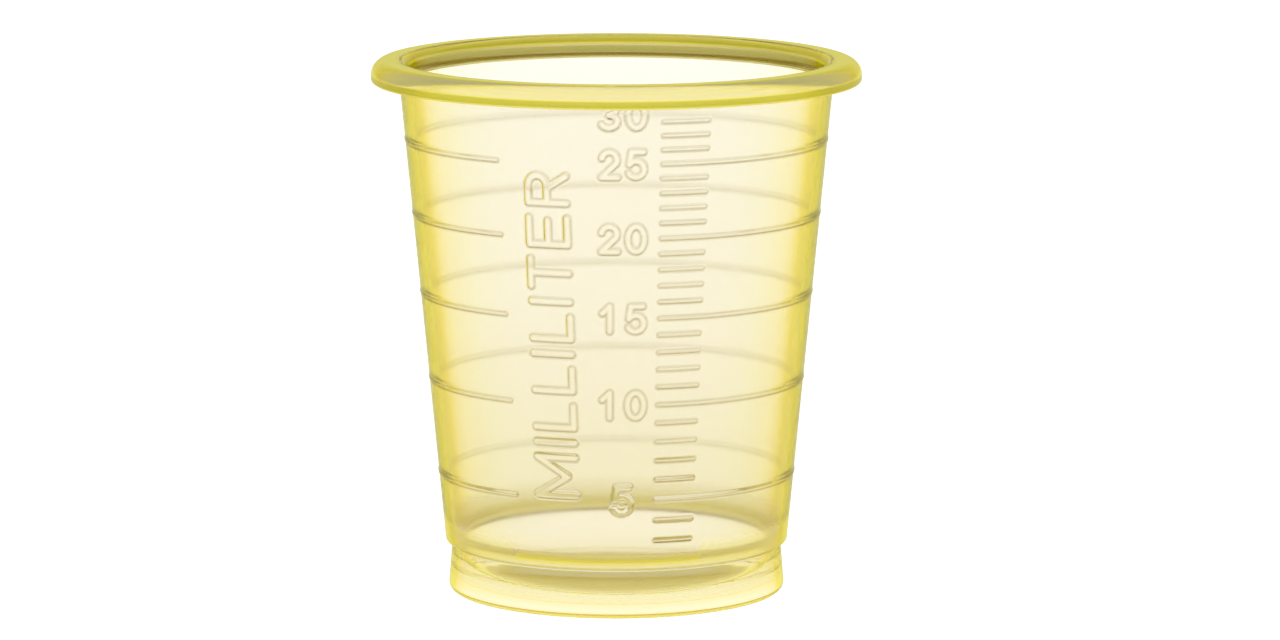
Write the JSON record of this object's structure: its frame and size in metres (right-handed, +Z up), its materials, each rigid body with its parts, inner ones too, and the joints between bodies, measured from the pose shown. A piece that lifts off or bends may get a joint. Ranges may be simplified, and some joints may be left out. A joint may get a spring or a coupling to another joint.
{
  "type": "medicine measuring cup",
  "caption": "Small tapered dosing cup with a rolled rim, stepped foot, raised volume lines, tick scale, numerals and unit word, in clear yellow plastic.",
  "frame": {"origin": "centre of the cup's underside, on the surface that it stands on", "axes": "+Z up along the cup's axis; the numerals face -Y and the unit word is left of them, towards -X"},
  "size_m": [0.0402, 0.0402, 0.044],
  "materials": {
    "yellow_plastic": "clear yellow polypropylene, smooth moulded gloss, see-through with a faint haze",
    "yellow_plastic_marks": "the same clear yellow polypropylene, raised marks with rounded edges"
  },
  "bodies": {
    "root": {"cup_body": "yellow_plastic", "letter_01_M": "yellow_plastic_marks", "letter_02_I": "yellow_plastic_marks", "letter_03_L": "yellow_plastic_marks", "letter_04_L": "yellow_plastic_marks", "letter_05_I": "yellow_plastic_marks", "letter_06_L": "yellow_plastic_marks", "letter_07_I": "yellow_plastic_marks", "letter_08_T": "yellow_plastic_marks", "letter_09_E": "yellow_plastic_marks", "letter_10_R": "yellow_plastic_marks", "line_05_ml": "yellow_plastic_marks", "line_10_ml": "yellow_plastic_marks", "line_15_ml": "yellow_plastic_marks", "line_20_ml": "yellow_plastic_marks", "line_25_ml": "yellow_plastic_marks", "numeral_05_digit_1": "yellow_plastic_marks", "numeral_10_digit_1": "yellow_plastic_marks", "numeral_10_digit_2": "yellow_plastic_marks", "numeral_15_digit_1": "yellow_plastic_marks", "numeral_15_digit_2": "yellow_plastic_marks", "numeral_20_digit_1": "yellow_plastic_marks", "numeral_20_digit_2": "yellow_plastic_marks", "numeral_25_digit_1": "yellow_plastic_marks", "numeral_25_digit_2": "yellow_plastic_marks", "numeral_30_digit_1": "yellow_plastic_marks", "numeral_30_digit_2": "yellow_plastic_marks", "tick_03_ml": "yellow_plastic_marks", "tick_04_ml": "yellow_plastic_marks", "tick_06_ml": "yellow_plastic_marks", "tick_07_ml": "yellow_plastic_marks", "tick_08_ml": "yellow_plastic_marks", "tick_09_ml": "yellow_plastic_marks", "tick_11_ml": "yellow_plastic_marks", "tick_12_ml": "yellow_plastic_marks", "tick_13_ml": "yellow_plastic_marks", "tick_14_ml": "yellow_plastic_marks", "tick_16_ml": "yellow_plastic_marks", "tick_17_ml": "yellow_plastic_marks", "tick_18_ml": "yellow_plastic_marks", "tick_19_ml": "yellow_plastic_marks", "tick_21_ml": "yellow_plastic_marks", "tick_22_ml": "yellow_plastic_marks", "tick_23_ml": "yellow_plastic_marks", "tick_24_ml": "yellow_plastic_marks", "tick_26_ml": "yellow_plastic_marks", "tick_27_ml": "yellow_plastic_marks", "tick_28_ml": "yellow_plastic_marks"}
  },
  "joints": []
}
